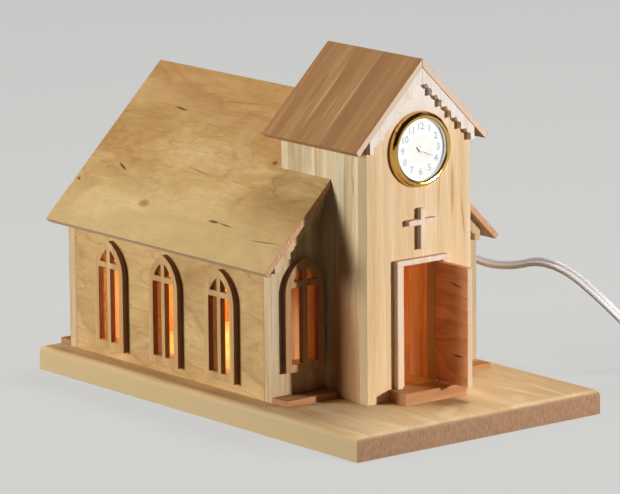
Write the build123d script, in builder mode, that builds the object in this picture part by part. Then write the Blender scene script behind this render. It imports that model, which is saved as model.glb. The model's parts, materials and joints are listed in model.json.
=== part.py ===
from build123d import *
import math
import os

os.makedirs("parts", exist_ok=True)

# A wooden church clock, seen from the front: X to the right, Y to the back, Z up.
# The origin is the middle of the base board's underside. Everything is in millimetres.

# Boards
wall = 6.0  # plywood of the walls
trim = 3.0  # thin board of the overlays, jambs and cross
roof_board = 3.0
pitch = 45.0  # degrees, of both roofs
joint_gap = 0.3  # left open at the mitred ridges

# Base board
base_width = 151.0
base_length = 256.0
base_thick = 12.3
base_round = 3.0
front_yard = 79.0  # from the board's front edge to the nave's front wall
side_yard = 11.5
back_yard = 11.0

# Nave
nave_wall_height = 70.5  # outer corner under the roof, from the base board
nave_eave = 9.0
nave_verge_front = 6.6
nave_verge_back = 6.8

# Tower
tower_width = 64.6
tower_depth = 65.1
tower_projection = 33.3  # in front of the nave
tower_wall_height = 128.5
tower_eave = 8.7
tower_verge_front = 3.2
tower_verge_back = 3.8
tower_back_drop = 14.5  # back wall's lower edge, below the nave roof's lowest line on it

# Pointed windows
window_width_share = 0.7445  # of the nave's front wall beside the tower
window_rise = 17.0  # of the arch, above its springing
window_frame = 3.5
window_sill = 3.9
mullion = 2.9
crossbar_drop = 12.4  # its middle, below the window's point
side_window_foot = 4.9  # above the base board
side_window_head = 10.4  # point to the wall's outer corner
side_window_spacing_share = 0.2723  # of the nave's length
front_window_foot = 14.1
front_window_place_share = 0.429  # of the nave's front wall, from the tower

# Stepped bargeboards
tower_step_count = 5
tower_crown_drop = 8.5  # apex to the middle tread
tower_crown_half = 5.6  # half of the middle tread
tower_trim_leg = 2.5
step_round_share = 0.43  # of a tread
nave_trim_leg = 3.6
nave_trim_drop = 6.8  # leg's foot, below the wall's outer corner

# Doorway and door
doorway_width = 25.2  # between the jambs
doorway_top = 65.8  # above the base board
door_stop = 3.2  # wall left showing inside each jamb
jamb_width = 3.3
lintel_height = 2.7
step_ears = 3.1  # of the step beyond each jamb
step_depth = 12.7
step_height = 6.0
door_thickness = 3.0
door_side_gap = 0.3
door_foot_gap = 0.9
door_head_gap = 0.5
door_wall_gap = 0.25
pin_radius = 0.5
pin_fit = 0.05
pin_in_door = 5.0
pin_in_frame = 1.8

# Cross, between the lintel and the clock
cross_foot_share = 0.118
cross_height_share = 0.59
cross_arm_drop_share = 0.33  # of its height, from its top to the arm's middle
cross_span = 17.1
cross_stem = 2.5
cross_arm = 2.8

# Foundation strips
strip_thick = 3.0
front_strip_depth = 11.0
back_strip_depth = 8.3

# Clock insert: radii, and depths from the tower's front face into the wall
clock_drop = 39.9  # its middle, below the wall's apex
clock_hole_radius = 17.5
bezel_rim = 1.0  # beyond the hole's edge
bezel_wall = 1.6
bezel_lip = 0.6
bezel_front = 3.45
bezel_skirt_depth = 1.8
seat_gap = 0.2
fit = 0.1
lens_recess = 0.5
lens_thick = 0.8
ring_depth = 1.2
ring_width = 1.0
dial_thick = 0.4
case_inset = 1.0
case_wall = 0.8
grip_gap = 0.08
grip_groove = 0.25
grip_margin = 0.3
grip_rib_count = 36

# Movement
plate_play = 0.4
plate_thick = 0.9
bridge_thick = 0.8
pillar_radius = 0.8
pillar_inset = 1.4
arbor_radius = 0.5
hand_thick = 0.2
hand_width = 0.9
hand_gap = 0.2
hub_wall = 0.5
minute_hand_share = 0.596  # of the lens lip's radius
hour_hand_share = 0.45
minute_angle = 117.0  # degrees clockwise from twelve
hour_angle = 99.75
tube_wall = 0.33
running_fit = 0.12
wheel_spacing = 5.1
wheel_thick = 0.8
wheel_gap = 0.6
mesh_gap = 0.15
tooth_depth = 0.35
hour_wheel_tooth_count = 32
idler_tooth_count = 24
cannon_tooth_count = 8
cannon_radius = 1.2
idler_pinion_radius = 0.95
idler_arbor_radius = 0.35
bridge_clearance = 1.9
cell_radius = 4.75
cell_height = 2.1
cell_inset = 0.65
coil_length = 10.0
coil_width = 3.4
circuit_place_share = 0.66  # of the plate's radius
circuit_length = 12.0
circuit_width = 5.0
circuit_height = 1.0
can_height = 1.8
cover_thick = 0.7
cover_lip_depth = 1.3
cover_play = 0.45
knob_radius = 2.7
knob_play = 0.6
knob_length = 1.9
knob_tooth_count = 14

# Night light: radii, and depths from the nave's back face outwards
lamp_height = 47.7  # above the base board
lamp_hole_radius = 12.7
socket_play = 1.7
socket_inside = 24.0
flange_rim = 1.8
flange_thick = 2.0
socket_tail = 9.5
socket_taper = 3.0
socket_bore = 6.2
socket_floor = 5.0
clip_width = 6.0
clip_thick = 0.5
clip_setback = 6.5
bulb_length = 38.0
bulb_wall = 0.7
bulb_play = 0.3
bulb_contact = 1.5
bulb_contact_radius = 3.0
bulb_floor_gap = 2.4
relief_length = 22.0
relief_radius = 4.4
relief_rim = 0.3

# Lead: a flat twin cord, its diameter the wider way
cord_diameter = 5.2
coil_gap = 0.45
coil_quarter_count = 26
coil_outer_radius = 40.5
coil_x = 190.0
coil_y = -106.0
coil_tail = 18.0  # straight, from the coil to the plug
sample_count = 8  # for each arc, to measure the coil's gap
plug_sleeve = 12.0
plug_sleeve_radius = 4.2
plug_length = 23.0
plug_width = 18.0
plug_height = 11.2
plug_round = 2.5
blade_length = 16.0
blade_width = 6.3
blade_thickness = 1.5
blade_spacing = 12.7
cord_arc_share = 0.45
cord_points = [
    (0, 148.5, 60),
    (0, 170, 60),
    (14, 193, 59.5),
    (42, 203, 57.5),
    (72, 195, 55),
    (93, 170, 53),
    (102, 134, 53),
    (107.5, 98, 54.5),
    (111.5, 64, 56.5),
    (115.5, 34, 55),
    (117.6, 9.5, 47),
    (118.9, -14, 49.2),
    (120.6, -31, 54.9),
    (126.8, -46.2, 51),
    (136.5, -55.5, 39.3),
    (148, -60.8, 26.8),
    (160, -64, 13.8),
    (172.5, -65.5, 8.25),
    (184.8, -65.5, 8.25),
]

# Places of the boards
slope = math.tan(math.radians(pitch))
roof_sin = math.sin(math.radians(pitch))
roof_cos = math.cos(math.radians(pitch))
roof_vertical = roof_board / roof_cos
floor_z = base_thick
nave_width = base_width - 2 * side_yard
nave_length = base_length - front_yard - back_yard
nave_front_y = front_yard - base_length / 2
nave_back_y = nave_front_y + nave_length
nave_half = nave_width / 2
nave_corner_z = floor_z + nave_wall_height
nave_apex_z = nave_corner_z + nave_half * slope
tower_half = tower_width / 2
tower_front_y = nave_front_y - tower_projection
tower_back_y = tower_front_y + tower_depth
tower_corner_z = floor_z + tower_wall_height
tower_apex_z = tower_corner_z + tower_half * slope
step_top_z = floor_z + step_height
lintel_z = floor_z + doorway_top
lamp_z = floor_z + lamp_height
sides = {"left": -1, "right": 1}

# Sizes of the windows and the bargeboards
front_wall_width = nave_half - tower_half
window_width = front_wall_width * window_width_share
window_height = nave_wall_height - side_window_foot - side_window_head
window_spacing = nave_length * side_window_spacing_share
tread = (tower_half - tower_crown_half - tower_trim_leg) / (tower_step_count - 1)
riser = tread * slope
step_round = tread * step_round_share

# Radii and depths of the clock insert
clock_z = tower_apex_z - clock_drop
bezel_radius = clock_hole_radius + bezel_rim
bezel_skirt_radius = clock_hole_radius - seat_gap
bezel_bore = bezel_skirt_radius - bezel_wall
bezel_lip_radius = bezel_bore - bezel_lip
lens_front = bezel_front - lens_recess
dial_front = lens_front - lens_thick - ring_depth
case_radius = clock_hole_radius - case_inset
case_front = dial_thick - dial_front
case_shoulder = bezel_skirt_depth + fit
case_neck = bezel_bore - fit
grip_front = bezel_skirt_depth + grip_margin
grip_width = wall - grip_front - grip_margin
plate_front = case_front + fit + dial_thick / 2
plate_back = plate_front + plate_thick
plate_radius = case_neck - case_wall - plate_play
tube_bore = arbor_radius + running_fit
tube_radius = tube_bore + tube_wall
hour_hand_front = dial_front + dial_thick / 2 + fit / 2 + hand_thick
minute_hand_front = hour_hand_front + hand_gap + hand_thick
hour_wheel_front = plate_back + hub_wall
idler_front = hour_wheel_front + wheel_thick + wheel_gap
bridge_front = idler_front + wheel_thick + bridge_clearance
bridge_back = bridge_front + bridge_thick
cell_back = bridge_back + fit / 2 + cell_height
case_back = cell_back + cover_play
knob_front = case_back + grip_margin
hour_wheel_radius = wheel_spacing - idler_pinion_radius - mesh_gap
idler_radius = wheel_spacing - cannon_radius - mesh_gap
circuit_offset = plate_radius * circuit_place_share

# Radii of the night light
socket_radius = lamp_hole_radius - socket_play
bulb_radius = socket_radius
bulb_cap_radius = socket_bore - bulb_play
bulb_cap_length = socket_inside - socket_floor - bulb_contact - bulb_floor_gap - fit


def front_plane(y):
    """A plane that faces the front, with X to the right and Z up."""
    return Plane.XZ.offset(-y)


def finish(builder, name):
    """Labels a finished piece and writes it."""
    builder.part.label = name
    export_step(builder.part, f"parts/{name}.step")


def pointed_outline(half, foot, spring, centre, radius):
    """A window's outline: straight sides under two arcs that meet in a point."""
    apex = spring + math.sqrt(radius**2 - centre**2)
    middle = math.asin((apex - spring) / radius) / 2
    bulge_x = radius * math.cos(middle) - centre
    bulge_z = spring + radius * math.sin(middle)
    with BuildSketch() as outline:
        with BuildLine():
            Polyline((-half, spring), (-half, foot), (half, foot), (half, spring))
            ThreePointArc((half, spring), (bulge_x, bulge_z), (0, apex))
            ThreePointArc((0, apex), (-bulge_x, bulge_z), (-half, spring))
        make_face()
    return outline.sketch


def slab(side, inner, outer, corner_z, half):
    """The section of one roof board, from inner to the eave at outer."""
    apex_z = corner_z + half * slope
    eave_z = apex_z + roof_vertical - outer * slope
    with BuildSketch() as section:
        with BuildLine():
            Polyline(
                (side * inner, apex_z - inner * slope),
                (side * inner, apex_z + roof_vertical - inner * slope),
                (side * outer, eave_z),
                (side * (outer - roof_board * roof_sin), eave_z - roof_board * roof_cos),
                close=True,
            )
        make_face()
    return section.sketch


def gear(teeth, tip, depth):
    """A small wheel's outline, its teeth cut as plain notches."""
    points = []
    for notch in range(teeth):
        for share, radius in ((0.0, tip), (0.4, tip), (0.55, tip - depth), (0.85, tip - depth)):
            turn = 2 * math.pi * (notch + share) / teeth
            points.append((radius * math.cos(turn), radius * math.sin(turn)))
    with BuildSketch() as outline:
        with BuildLine():
            Polyline(*points, close=True)
        make_face()
    return outline.sketch


def turned(points):
    """The half section of a turned piece: depth along its axis, then radius."""
    with BuildSketch() as section:
        with BuildLine():
            Polyline(*points, close=True)
        make_face()
    return section.sketch


# Base board with a rounded top edge
with BuildPart() as base_board:
    with BuildSketch():
        Rectangle(base_width, base_length)
    extrude(amount=base_thick)
    fillet(base_board.faces().sort_by(Axis.Z)[-1].edges(), radius=base_round)
finish(base_board, "base_board")

# Window outlines, drawn from the foot of the window up
window_half = window_width / 2
window_spring = window_height - window_rise
arch_centre = (window_rise**2 - window_half**2) / (2 * window_half)
arch_radius = arch_centre + window_half
window_outer = pointed_outline(window_half, 0, window_spring, arch_centre, arch_radius)
window_light = pointed_outline(
    window_half - window_frame, window_sill, window_spring, arch_centre, arch_radius - window_frame
)
mullion_top = window_height - window_frame

with BuildSketch() as window_pattern:
    add(window_outer)
    add(window_light, mode=Mode.SUBTRACT)
    with Locations((0, mullion_top / 2)):
        Rectangle(mullion, mullion_top)
    with Locations((0, window_height - crossbar_drop)):
        Rectangle(window_width - window_frame, mullion)

side_window_z = floor_z + side_window_foot
front_window_z = floor_z + front_window_foot
nave_middle_y = (nave_front_y + nave_back_y) / 2
window_ys = [nave_middle_y + window_spacing * place for place in (-1, 0, 1)]
front_window_x = tower_half + front_wall_width * front_window_place_share

# Nave side walls, bevelled under the roof
for side_name, side in sides.items():
    inner_x = nave_half - wall
    with BuildPart() as nave_side_wall:
        with BuildSketch(front_plane(nave_back_y - wall)):
            with BuildLine():
                Polyline(
                    (side * inner_x, floor_z),
                    (side * nave_half, floor_z),
                    (side * nave_half, nave_corner_z),
                    (side * inner_x, nave_corner_z + wall * slope),
                    close=True,
                )
            make_face()
        extrude(amount=nave_length - 2 * wall)
        with BuildSketch(Plane.YZ.offset(side * (nave_half - wall / 2))):
            for window_y in window_ys:
                with Locations((window_y, side_window_z)):
                    add(window_light)
        extrude(amount=wall, both=True, mode=Mode.SUBTRACT)
    finish(nave_side_wall, f"nave_side_wall_{side_name}")

# Nave front walls, one each side of the tower
for side_name, side in sides.items():
    with BuildPart() as nave_front_wall:
        with BuildSketch(front_plane(nave_front_y + wall)):
            with BuildLine():
                Polyline(
                    (side * tower_half, floor_z),
                    (side * nave_half, floor_z),
                    (side * nave_half, nave_corner_z),
                    (side * tower_half, nave_corner_z + (nave_half - tower_half) * slope),
                    close=True,
                )
            make_face()
            with Locations((side * front_window_x, front_window_z)):
                add(window_light, mode=Mode.SUBTRACT)
        extrude(amount=wall)
    finish(nave_front_wall, f"nave_front_wall_{side_name}")

# Nave back wall, bored for the night light
with BuildPart() as nave_back_wall:
    with BuildSketch(front_plane(nave_back_y)):
        with BuildLine():
            Polyline(
                (-nave_half, floor_z),
                (nave_half, floor_z),
                (nave_half, nave_corner_z),
                (0, nave_apex_z),
                (-nave_half, nave_corner_z),
                close=True,
            )
        make_face()
        with Locations((0, lamp_z)):
            Circle(lamp_hole_radius, mode=Mode.SUBTRACT)
    extrude(amount=wall)
finish(nave_back_wall, "nave_back_wall")

# Nave roof boards, notched round the tower
nave_eave_x = nave_half + nave_eave
for side_name, side in sides.items():
    with BuildPart() as nave_roof:
        with BuildSketch(front_plane(nave_back_y + nave_verge_back)):
            add(slab(side, joint_gap / 2, nave_eave_x, nave_corner_z, nave_half))
        extrude(amount=nave_back_y + nave_verge_back - tower_back_y)
        with BuildSketch(front_plane(tower_back_y)):
            add(slab(side, tower_half, nave_eave_x, nave_corner_z, nave_half))
        extrude(amount=tower_back_y - nave_front_y + nave_verge_front)
    finish(nave_roof, f"nave_roof_{side_name}")

# Window overlays, three along each side of the nave
for side_name, side in sides.items():
    for number, window_y in enumerate(window_ys, start=1):
        with BuildPart() as side_window:
            with BuildSketch(Plane.YZ.offset(side * (nave_half + trim / 2))):
                with Locations((window_y, side_window_z)):
                    add(window_pattern.sketch)
            extrude(amount=trim / 2, both=True)
        finish(side_window, f"side_window_{side_name}_{number}")

# Window overlays on the nave's front
for side_name, side in sides.items():
    with BuildPart() as front_window:
        with BuildSketch(front_plane(nave_front_y)):
            with Locations((side * front_window_x, front_window_z)):
                add(window_pattern.sketch)
        extrude(amount=trim)
    finish(front_window, f"front_window_{side_name}")

# Stepped bargeboards under the nave's front verge
nave_step_count = 1 + int((front_wall_width - nave_trim_leg - step_round) / tread)
for side_name, side in sides.items():
    foot_z = nave_corner_z - nave_trim_drop
    steps_x = nave_half - nave_trim_leg
    with BuildPart() as nave_trim:
        with BuildSketch(front_plane(nave_front_y)):
            with BuildLine():
                Line(
                    (side * tower_half, nave_corner_z + (nave_half - tower_half) * slope),
                    (side * nave_half, nave_corner_z),
                )
                Line((side * nave_half, nave_corner_z), (side * nave_half, foot_z))
                Line((side * nave_half, foot_z), (side * steps_x, foot_z))
                for count in range(nave_step_count):
                    x = steps_x - count * tread
                    z = foot_z + count * riser
                    Line((side * x, z), (side * x, z + riser - step_round))
                    RadiusArc(
                        (side * x, z + riser - step_round),
                        (side * (x - step_round), z + riser),
                        side * step_round,
                    )
                    last_x = x - tread if count < nave_step_count - 1 else tower_half
                    Line((side * (x - step_round), z + riser), (side * last_x, z + riser))
                Line(
                    (side * tower_half, foot_z + nave_step_count * riser),
                    (side * tower_half, nave_corner_z + (nave_half - tower_half) * slope),
                )
            make_face()
        extrude(amount=trim)
    finish(nave_trim, f"nave_trim_{side_name}")

# Tower front wall, with the doorway and the clock's hole
with BuildPart() as tower_front_wall:
    with BuildSketch(front_plane(tower_front_y + wall)):
        with BuildLine():
            Polyline(
                (-tower_half, floor_z),
                (tower_half, floor_z),
                (tower_half, tower_corner_z),
                (0, tower_apex_z),
                (-tower_half, tower_corner_z),
                close=True,
            )
        make_face()
        with Locations((0, (step_top_z + lintel_z) / 2)):
            Rectangle(doorway_width - 2 * door_stop, lintel_z - step_top_z, mode=Mode.SUBTRACT)
        with Locations((0, clock_z)):
            Circle(clock_hole_radius, mode=Mode.SUBTRACT)
    extrude(amount=wall)
finish(tower_front_wall, "tower_front_wall")

# Tower side walls
for side_name, side in sides.items():
    inner_x = tower_half - wall
    with BuildPart() as tower_side_wall:
        with BuildSketch(front_plane(tower_back_y - wall)):
            with BuildLine():
                Polyline(
                    (side * inner_x, floor_z),
                    (side * tower_half, floor_z),
                    (side * tower_half, tower_corner_z),
                    (side * inner_x, tower_corner_z + wall * slope),
                    close=True,
                )
            make_face()
        extrude(amount=tower_depth - 2 * wall)
    finish(tower_side_wall, f"tower_side_wall_{side_name}")

# Tower back wall, which ends inside the nave's roof and leaves the lamp's light a way through
back_foot_z = nave_apex_z - tower_half * slope - tower_back_drop
with BuildPart() as tower_back_wall:
    with BuildSketch(front_plane(tower_back_y)):
        with BuildLine():
            Polyline(
                (-tower_half, back_foot_z),
                (tower_half, back_foot_z),
                (tower_half, tower_corner_z),
                (0, tower_apex_z),
                (-tower_half, tower_corner_z),
                close=True,
            )
        make_face()
    extrude(amount=wall)
finish(tower_back_wall, "tower_back_wall")

# Tower roof boards
for side_name, side in sides.items():
    with BuildPart() as tower_roof:
        with BuildSketch(front_plane(tower_back_y + tower_verge_back)):
            add(slab(side, joint_gap / 2, tower_half + tower_eave, tower_corner_z, tower_half))
        extrude(amount=tower_depth + tower_verge_back + tower_verge_front)
    finish(tower_roof, f"tower_roof_{side_name}")

# Stepped bargeboards of the tower, which meet at the apex
for side_name, side in sides.items():
    with BuildPart() as tower_trim:
        with BuildSketch(front_plane(tower_front_y)):
            tread_z = tower_apex_z - tower_crown_drop
            foot_z = tread_z - tower_step_count * riser
            seam = joint_gap / 2
            with BuildLine():
                Line((side * seam, tread_z), (side * seam, tower_apex_z - seam * slope))
                Line(
                    (side * seam, tower_apex_z - seam * slope), (side * tower_half, tower_corner_z)
                )
                Line((side * tower_half, tower_corner_z), (side * tower_half, foot_z))
                last_x = tower_half - tower_trim_leg
                Line((side * tower_half, foot_z), (side * last_x, foot_z))
                for count in range(tower_step_count):
                    x = tower_crown_half + count * tread
                    z = tread_z - count * riser
                    start_x = x - tread if count else seam
                    Line((side * start_x, z), (side * (x - step_round), z))
                    RadiusArc(
                        (side * (x - step_round), z),
                        (side * x, z - step_round),
                        -side * step_round,
                    )
                    Line((side * x, z - step_round), (side * x, z - riser))
            make_face()
        extrude(amount=trim)
    finish(tower_trim, f"tower_trim_{side_name}")

# Applied cross
cross_space = clock_z - bezel_radius - lintel_z - lintel_height
cross_height = cross_space * cross_height_share
cross_foot_z = lintel_z + lintel_height + cross_space * cross_foot_share
with BuildPart() as cross:
    with BuildSketch(front_plane(tower_front_y)):
        with Locations((0, cross_foot_z + cross_height / 2)):
            Rectangle(cross_stem, cross_height)
        with Locations((0, cross_foot_z + cross_height * (1 - cross_arm_drop_share))):
            Rectangle(cross_span, cross_arm)
    extrude(amount=trim)
finish(cross, "cross")

# Door step, jambs and lintel
with BuildPart() as door_step:
    with BuildSketch(front_plane(tower_front_y)):
        with Locations((0, floor_z + step_height / 2)):
            Rectangle(doorway_width + 2 * jamb_width + 2 * step_ears, step_height)
    extrude(amount=step_depth)
    pivot_x = doorway_width / 2 - door_side_gap - door_thickness / 2
    pivot_y = tower_front_y - door_wall_gap - door_thickness / 2
    with BuildSketch(Plane.XY.offset(step_top_z)):
        with Locations((pivot_x, pivot_y)):
            Circle(pin_radius + pin_fit)
    extrude(amount=-pin_in_frame - pin_fit, mode=Mode.SUBTRACT)
finish(door_step, "door_step")

with BuildPart() as door_lintel:
    with BuildSketch(front_plane(tower_front_y)):
        with Locations((0, lintel_z + lintel_height / 2)):
            Rectangle(doorway_width + 2 * jamb_width, lintel_height)
    extrude(amount=trim)
    with BuildSketch(Plane.XY.offset(lintel_z)):
        with Locations((pivot_x, pivot_y)):
            Circle(pin_radius + pin_fit)
    extrude(amount=pin_in_frame + pin_fit, mode=Mode.SUBTRACT)
finish(door_lintel, "door_lintel")

with BuildPart() as door_jambs:
    with BuildSketch(front_plane(tower_front_y)):
        for side in sides.values():
            jamb_x = side * (doorway_width + jamb_width) / 2
            with Locations((jamb_x, (step_top_z + lintel_z) / 2)):
                Rectangle(jamb_width, lintel_z - step_top_z)
    extrude(amount=trim)
finish(door_jambs, "door_jambs")

# Door, standing open, and the pins that it turns on
door_width = doorway_width - 2 * door_side_gap
door_foot_z = step_top_z + door_foot_gap
door_head_z = lintel_z - door_head_gap
with BuildPart() as door:
    with BuildSketch(Plane.XY.offset(door_foot_z)):
        with Locations((pivot_x, pivot_y - (door_width - door_thickness / 2) / 2)):
            Rectangle(door_thickness, door_width - door_thickness / 2)
        with Locations((pivot_x, pivot_y)):
            Circle(door_thickness / 2)
    extrude(amount=door_head_z - door_foot_z)
    for hole_z, hole_depth in ((door_foot_z, pin_in_door), (door_head_z, -pin_in_door)):
        with BuildSketch(Plane.XY.offset(hole_z)):
            with Locations((pivot_x, pivot_y)):
                Circle(pin_radius + pin_fit)
        extrude(amount=hole_depth, mode=Mode.SUBTRACT)
finish(door, "door")

with BuildPart() as door_pivot_pins:
    for pin_start, pin_end in (
        (step_top_z - pin_in_frame, door_foot_z + pin_in_door - pin_fit),
        (door_head_z - pin_in_door + pin_fit, lintel_z + pin_in_frame),
    ):
        with BuildSketch(Plane.XY.offset(pin_start)):
            with Locations((pivot_x, pivot_y)):
                Circle(pin_radius)
        extrude(amount=pin_end - pin_start)
finish(door_pivot_pins, "door_pivot_pins")

# Foundation strips
with BuildPart() as foundation_front:
    with BuildSketch(Plane.XY.offset(floor_z)):
        for side in sides.values():
            strip_x = side * (nave_half + tower_half) / 2
            with Locations((strip_x, nave_front_y - front_strip_depth / 2)):
                Rectangle(nave_half - tower_half, front_strip_depth)
    extrude(amount=strip_thick)
finish(foundation_front, "foundation_front")

with BuildPart() as foundation_back:
    with BuildSketch(Plane.XY.offset(floor_z)):
        with Locations((0, nave_back_y + back_strip_depth / 2)):
            Rectangle(nave_width, back_strip_depth)
    extrude(amount=strip_thick)
finish(foundation_back, "foundation_back")

# Clock insert: the section plane has depth into the wall first, then radius
clock_origin = (0, tower_front_y, clock_z)
clock_section = Plane(origin=clock_origin, x_dir=(0, 1, 0), z_dir=(1, 0, 0))
clock_axis = Axis(clock_origin, (0, 1, 0))


def dial_plane(depth):
    """A plane across the clock's axis at a depth, seen from the front."""
    return Plane(origin=(0, tower_front_y + depth, clock_z), x_dir=(1, 0, 0), z_dir=(0, -1, 0))


bezel_depth = bezel_front - seat_gap
bezel_width = bezel_radius - bezel_lip_radius
with BuildPart() as clock_bezel:
    with BuildSketch(clock_section):
        add(
            turned(
                [
                    (-seat_gap, bezel_radius),
                    (-seat_gap - bezel_depth * 0.2, bezel_radius),
                    (-seat_gap - bezel_depth * 0.62, bezel_radius - bezel_width * 0.13),
                    (-seat_gap - bezel_depth * 0.88, bezel_radius - bezel_width * 0.34),
                    (-bezel_front, bezel_radius - bezel_width * 0.58),
                    (-seat_gap - bezel_depth * 0.96, bezel_radius - bezel_width * 0.82),
                    (-lens_front - fit, bezel_lip_radius),
                    (-lens_front, bezel_lip_radius),
                    (-lens_front, bezel_bore),
                    (bezel_skirt_depth, bezel_bore),
                    (bezel_skirt_depth, bezel_skirt_radius),
                    (-seat_gap, bezel_skirt_radius),
                ]
            )
        )
    revolve(axis=clock_axis)
finish(clock_bezel, "clock_bezel")

with BuildPart() as clock_lens:
    with BuildSketch(dial_plane(-lens_front + lens_thick)):
        Circle(bezel_bore - fit)
    extrude(amount=lens_thick - fit / 2)
finish(clock_lens, "clock_lens")

with BuildPart() as clock_chapter_ring:
    with BuildSketch(clock_section):
        add(
            turned(
                [
                    (-lens_front + lens_thick, bezel_bore - fit),
                    (-lens_front + lens_thick, bezel_bore - fit - ring_width * 0.6),
                    (-dial_front, bezel_bore - fit - ring_width),
                    (-dial_front, bezel_bore - fit),
                ]
            )
        )
    revolve(axis=clock_axis)
finish(clock_chapter_ring, "clock_chapter_ring")

with BuildPart() as clock_dial:
    with BuildSketch(dial_plane(-dial_front + dial_thick)):
        Circle(bezel_bore - fit)
        Circle(tube_radius + fit, mode=Mode.SUBTRACT)
    extrude(amount=dial_thick)
finish(clock_dial, "clock_dial")

with BuildPart() as clock_case:
    with BuildSketch(clock_section):
        add(
            turned(
                [
                    (case_front, case_neck),
                    (case_shoulder, case_neck),
                    (case_shoulder, case_radius),
                    (case_back, case_radius),
                    (case_back, case_radius - case_wall),
                    (case_shoulder + case_wall, case_radius - case_wall),
                    (case_shoulder + case_wall, case_neck - case_wall),
                    (case_front, case_neck - case_wall),
                ]
            )
        )
    revolve(axis=clock_axis)
finish(clock_case, "clock_case")

with BuildPart() as clock_grip_ring:
    with BuildSketch(dial_plane(grip_front + grip_width)):
        add(gear(grip_rib_count, clock_hole_radius - grip_gap, grip_groove))
        Circle(case_radius + fit / 2, mode=Mode.SUBTRACT)
    extrude(amount=grip_width)
finish(clock_grip_ring, "clock_grip_ring")

idler_x = -wheel_spacing
with BuildPart() as movement_plate:
    with BuildSketch(dial_plane(plate_back)):
        Circle(plate_radius)
        Circle(tube_radius + fit, mode=Mode.SUBTRACT)
        with Locations((idler_x, 0)):
            Circle(idler_arbor_radius + fit, mode=Mode.SUBTRACT)
    extrude(amount=plate_thick)
    with BuildSketch(dial_plane(bridge_front)):
        with PolarLocations(plate_radius - pillar_inset, 3, start_angle=90):
            Circle(pillar_radius)
    extrude(amount=bridge_front - plate_back)
finish(movement_plate, "movement_plate")

with BuildPart() as movement_bridge:
    with BuildSketch(dial_plane(bridge_back)):
        Circle(plate_radius)
        Circle(arbor_radius + fit, mode=Mode.SUBTRACT)
        with Locations((idler_x, 0)):
            Circle(idler_arbor_radius + fit, mode=Mode.SUBTRACT)
    extrude(amount=bridge_thick)
finish(movement_bridge, "movement_bridge")

with BuildPart() as quartz_circuit:
    with BuildSketch(dial_plane(plate_back + coil_width)):
        with Locations((0, -circuit_offset)):
            Rectangle(coil_length, coil_width)
    extrude(amount=coil_width)
    with BuildSketch(dial_plane(plate_back + circuit_height)):
        with Locations((0, circuit_offset)):
            Rectangle(circuit_length, circuit_width)
    extrude(amount=circuit_height)
    with BuildSketch(dial_plane(plate_back + circuit_height + can_height)):
        with Locations((0, circuit_offset)):
            Rectangle(circuit_length / 2, can_height)
    extrude(amount=can_height)
finish(quartz_circuit, "quartz_circuit")

with BuildPart() as button_cell:
    with BuildSketch(dial_plane(cell_back)):
        with Locations((plate_radius - cell_radius - cell_inset, 0)):
            Circle(cell_radius)
    extrude(amount=cell_height)
finish(button_cell, "button_cell")

cover_lip_radius = case_radius - case_wall - fit
with BuildPart() as clock_back_cover:
    with BuildSketch(dial_plane(case_back + fit / 2 + cover_thick)):
        Circle(case_radius)
        Circle(knob_radius + knob_play, mode=Mode.SUBTRACT)
    extrude(amount=cover_thick)
    with BuildSketch(dial_plane(case_back + fit / 2)):
        Circle(cover_lip_radius)
        Circle(cover_lip_radius - case_wall, mode=Mode.SUBTRACT)
    extrude(amount=cover_lip_depth)
finish(clock_back_cover, "clock_back_cover")


def hand_outline(length, angle, bore):
    """A straight tapering hand round its hub, turned clockwise from twelve."""
    with BuildSketch() as outline:
        with BuildLine():
            Polyline(
                (-hand_width / 2, -length / 4),
                (hand_width / 2, -length / 4),
                (hand_width / 2, length / 2),
                (0, length),
                (-hand_width / 2, length / 2),
                close=True,
            )
        make_face()
        Circle(bore + hub_wall)
        Circle(bore, mode=Mode.SUBTRACT)
    return outline.sketch.rotate(Axis.Z, -angle)


with BuildPart() as minute_hand:
    with BuildSketch(dial_plane(-minute_hand_front + hand_thick)):
        add(hand_outline(bezel_lip_radius * minute_hand_share, minute_angle, arbor_radius))
    extrude(amount=hand_thick)
finish(minute_hand, "minute_hand")

with BuildPart() as hour_hand:
    with BuildSketch(dial_plane(-hour_hand_front + hand_thick)):
        add(hand_outline(bezel_lip_radius * hour_hand_share, hour_angle, tube_radius))
    extrude(amount=hand_thick)
finish(hour_hand, "hour_hand")

with BuildPart() as minute_arbor:
    with BuildSketch(dial_plane(knob_front)):
        Circle(arbor_radius)
    extrude(amount=knob_front + minute_hand_front)
    with BuildSketch(dial_plane(idler_front + wheel_thick)):
        add(gear(cannon_tooth_count, cannon_radius, tooth_depth))
    extrude(amount=wheel_thick)
finish(minute_arbor, "minute_arbor")

with BuildPart() as hour_wheel:
    with BuildSketch(dial_plane(hour_wheel_front + wheel_thick)):
        Circle(tube_radius)
        Circle(tube_bore, mode=Mode.SUBTRACT)
    extrude(amount=hour_wheel_front + wheel_thick + hour_hand_front)
    with BuildSketch(dial_plane(hour_wheel_front + wheel_thick)):
        add(gear(hour_wheel_tooth_count, hour_wheel_radius, tooth_depth))
        Circle(tube_bore, mode=Mode.SUBTRACT)
    extrude(amount=wheel_thick)
finish(hour_wheel, "hour_wheel")

with BuildPart() as idler_wheel:
    with BuildSketch(dial_plane(bridge_back - fit)):
        with Locations((idler_x, 0)):
            Circle(idler_arbor_radius)
    extrude(amount=bridge_back - 2 * fit - plate_front)
    with BuildSketch(dial_plane(idler_front + wheel_thick)):
        with Locations((idler_x, 0)):
            add(gear(idler_tooth_count, idler_radius, tooth_depth))
    extrude(amount=wheel_thick)
    with BuildSketch(dial_plane(idler_front)):
        with Locations((idler_x, 0)):
            Circle(idler_pinion_radius)
    extrude(amount=idler_front - hour_wheel_front)
finish(idler_wheel, "idler_wheel")

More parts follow.
